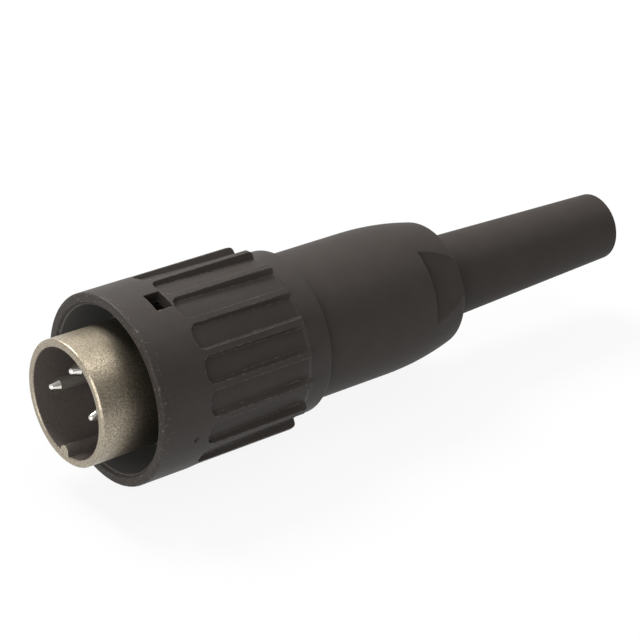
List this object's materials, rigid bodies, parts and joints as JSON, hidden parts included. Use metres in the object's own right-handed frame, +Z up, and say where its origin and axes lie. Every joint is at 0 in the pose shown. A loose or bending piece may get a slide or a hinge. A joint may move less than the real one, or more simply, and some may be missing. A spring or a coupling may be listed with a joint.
{
  "type": "circular connector plug",
  "caption": "Keyed circular cable plug: metal nose round its contact pins, fluted bayonet coupling ring, tapered back shell and a bend relief for the cable.",
  "frame": {"origin": "centre of the metal nose's front rim, on the mating axis", "axes": "+X along the mating axis from the rim to the cable end, +Z up through the middle contact, with the key rib at -Z"},
  "size_m": [0.0733, 0.02, 0.02],
  "materials": {
    "nickel_die_casting": "satin nickel on a grainy die casting",
    "insert_plastic": "matt black moulding",
    "silvered_contact": "silver plated",
    "spring_steel": "plain spring steel",
    "ring_plastic": "matt black moulding",
    "shield_metal": "plated sheet",
    "collet_plastic": "matt dark grey moulding",
    "body_plastic": "matt black moulding",
    "relief_rubber": "matt black soft sleeve"
  },
  "bodies": {
    "plug_body": {"front_shell": "nickel_die_casting", "contact_insert": "insert_plastic", "contact_pin_1": "silvered_contact", "contact_pin_2": "silvered_contact", "contact_pin_3": "silvered_contact", "insert_clip": "spring_steel", "ring_spring": "spring_steel", "shield_half_upper": "shield_metal", "shield_half_lower": "shield_metal", "clamp_collet": "collet_plastic", "back_shell": "body_plastic", "bend_relief": "relief_rubber"},
    "washer": {"thrust_washer": "spring_steel"},
    "ring": {"coupling_ring": "ring_plastic"}
  },
  "joints": [
    {"name": "ring_pull", "type": "slide", "parent": "plug_body", "child": "washer", "axis": [-1, 0, 0], "range_m": [0, 0.0008], "stiffness_N_per_m": 400, "deforming": ["ring_spring"]},
    {"name": "ring_turn", "type": "hinge", "parent": "washer", "child": "ring", "pos_m": [0.016, 0, 0], "axis": [1, 0, 0], "continuous": true}
  ]
}
